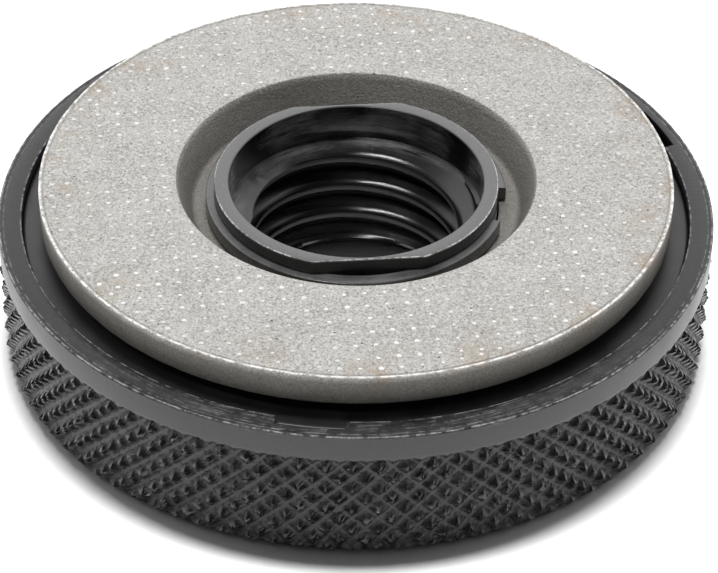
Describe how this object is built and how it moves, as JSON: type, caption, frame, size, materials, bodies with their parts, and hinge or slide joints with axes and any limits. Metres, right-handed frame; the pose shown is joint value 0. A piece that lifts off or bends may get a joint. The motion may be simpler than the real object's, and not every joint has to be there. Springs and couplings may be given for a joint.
{
  "type": "quick-release flange nut",
  "caption": "Spannerless clamping nut for an angle grinder spindle: threaded hub, sliding pressure plate and knurled release ring working over ball ramps.",
  "frame": {"origin": "on the spindle axis at the hub's outer face, on which the nut stands", "axes": "+Z along the spindle axis, out of the clamping face; +X and +Y across the nut, with the hub's two flats facing nearly along Y"},
  "size_m": [0.0466, 0.0466, 0.0118],
  "materials": {
    "black_oxide": "satin",
    "black_oxide_ring": "satin",
    "ledge_steel": "satin",
    "sintered_steel": "matte",
    "spring_steel": "satin",
    "hardened_steel": "satin",
    "bearing_steel": "polished",
    "nylon_cage": "matte",
    "rubber": "matte"
  },
  "bodies": {
    "hub": {"threaded_hub": "black_oxide", "snap_ring": "spring_steel", "thrust_washer": "hardened_steel"},
    "release_ring": {"knurled_ring": "black_oxide_ring", "cam_ring": "hardened_steel", "retaining_ring": "ledge_steel", "plate_seal": "rubber", "hub_seal": "rubber", "return_spring": "spring_steel"},
    "plate": {"pressure_plate": "sintered_steel"},
    "cam_cage": {"cam_ball_cage": "nylon_cage"},
    "cam_balls": {"cam_ball_1": "bearing_steel", "cam_ball_2": "bearing_steel", "cam_ball_3": "bearing_steel", "cam_ball_4": "bearing_steel", "cam_ball_5": "bearing_steel", "cam_ball_6": "bearing_steel"},
    "thrust_cage": {"thrust_ball_cage": "nylon_cage", "thrust_ball_1": "bearing_steel", "thrust_ball_2": "bearing_steel", "thrust_ball_3": "bearing_steel", "thrust_ball_4": "bearing_steel", "thrust_ball_5": "bearing_steel", "thrust_ball_6": "bearing_steel", "thrust_ball_7": "bearing_steel", "thrust_ball_8": "bearing_steel", "thrust_ball_9": "bearing_steel", "thrust_ball_10": "bearing_steel", "thrust_ball_11": "bearing_steel", "thrust_ball_12": "bearing_steel", "thrust_ball_13": "bearing_steel", "thrust_ball_14": "bearing_steel", "thrust_ball_15": "bearing_steel", "thrust_ball_16": "bearing_steel", "thrust_ball_17": "bearing_steel", "thrust_ball_18": "bearing_steel"}
  },
  "joints": [
    {"name": "ring_turn", "type": "hinge", "parent": "hub", "child": "release_ring", "pos_m": [0, 0, 0.005], "axis": [0, 0, 1], "range_deg": [-40, 0], "stiffness_Nm_per_rad": 0.03, "springref_deg": 28.65},
    {"name": "plate_slide", "type": "slide", "parent": "hub", "child": "plate", "axis": [0, 0, 1], "range_m": [-0.0006, 0]},
    {"name": "cam_cage_turn", "type": "hinge", "parent": "hub", "child": "cam_cage", "pos_m": [0, 0, 0.0066], "axis": [0, 0, 1], "range_deg": [-20, 0]},
    {"name": "cam_ball_drop", "type": "slide", "parent": "cam_cage", "child": "cam_balls", "axis": [0, 0, 1], "range_m": [-0.0003, 0]},
    {"name": "thrust_cage_turn", "type": "hinge", "parent": "hub", "child": "thrust_cage", "pos_m": [0, 0, 0.0034], "axis": [0, 0, 1], "range_deg": [-20, 0]}
  ],
  "couplings": [
    {"joint": "plate_slide", "follows": "ring_turn", "m_per_rad": 0.00085944},
    {"joint": "cam_cage_turn", "follows": "ring_turn", "ratio": 0.5},
    {"joint": "cam_ball_drop", "follows": "ring_turn", "m_per_rad": 0.00042972},
    {"joint": "thrust_cage_turn", "follows": "ring_turn", "ratio": 0.5}
  ]
}
